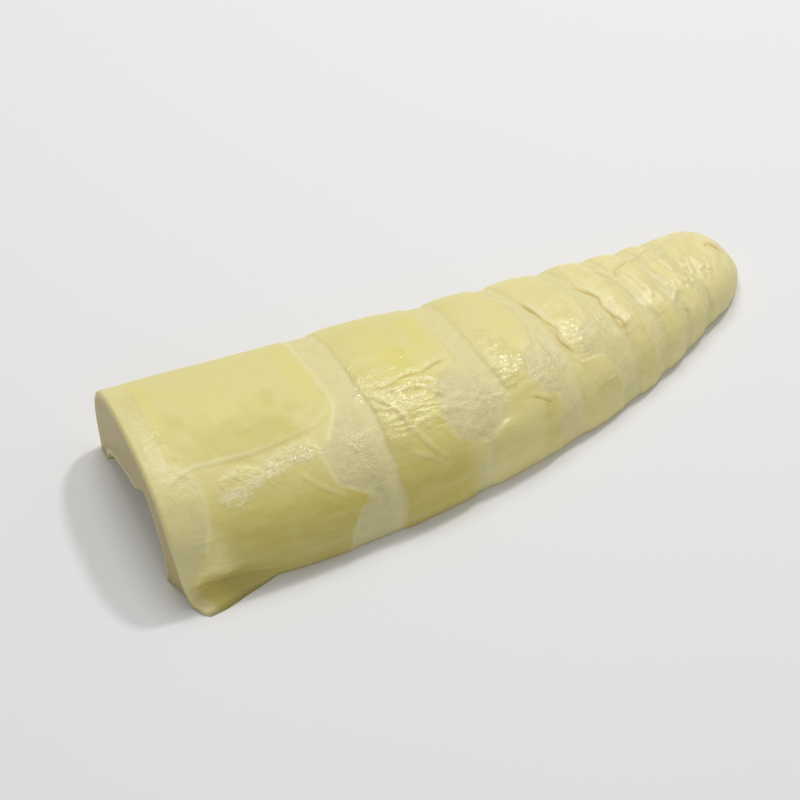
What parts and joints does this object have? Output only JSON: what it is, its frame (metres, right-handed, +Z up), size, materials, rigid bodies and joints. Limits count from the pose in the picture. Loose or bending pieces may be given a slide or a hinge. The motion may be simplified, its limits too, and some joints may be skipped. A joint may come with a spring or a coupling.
{
  "type": "bamboo shoot",
  "caption": "Peeled and boiled bamboo shoot, halved lengthwise and lying on its cut face, with pale node rings outside and hollow internodes beneath.",
  "frame": {"origin": "under the middle of the shoot's box, on the face that it lies on", "axes": "+X from the cut base to the tip, +Z up, and -Y the side whose lower edge turns out into a thin foot at the base"},
  "size_m": [0.2146, 0.08, 0.0301],
  "materials": {
    "shoot_flesh": "wet, glossy, slightly translucent boiled flesh, yellow between pale cream node rings"
  },
  "bodies": {
    "root": {"bamboo_shoot": "shoot_flesh"}
  },
  "joints": []
}
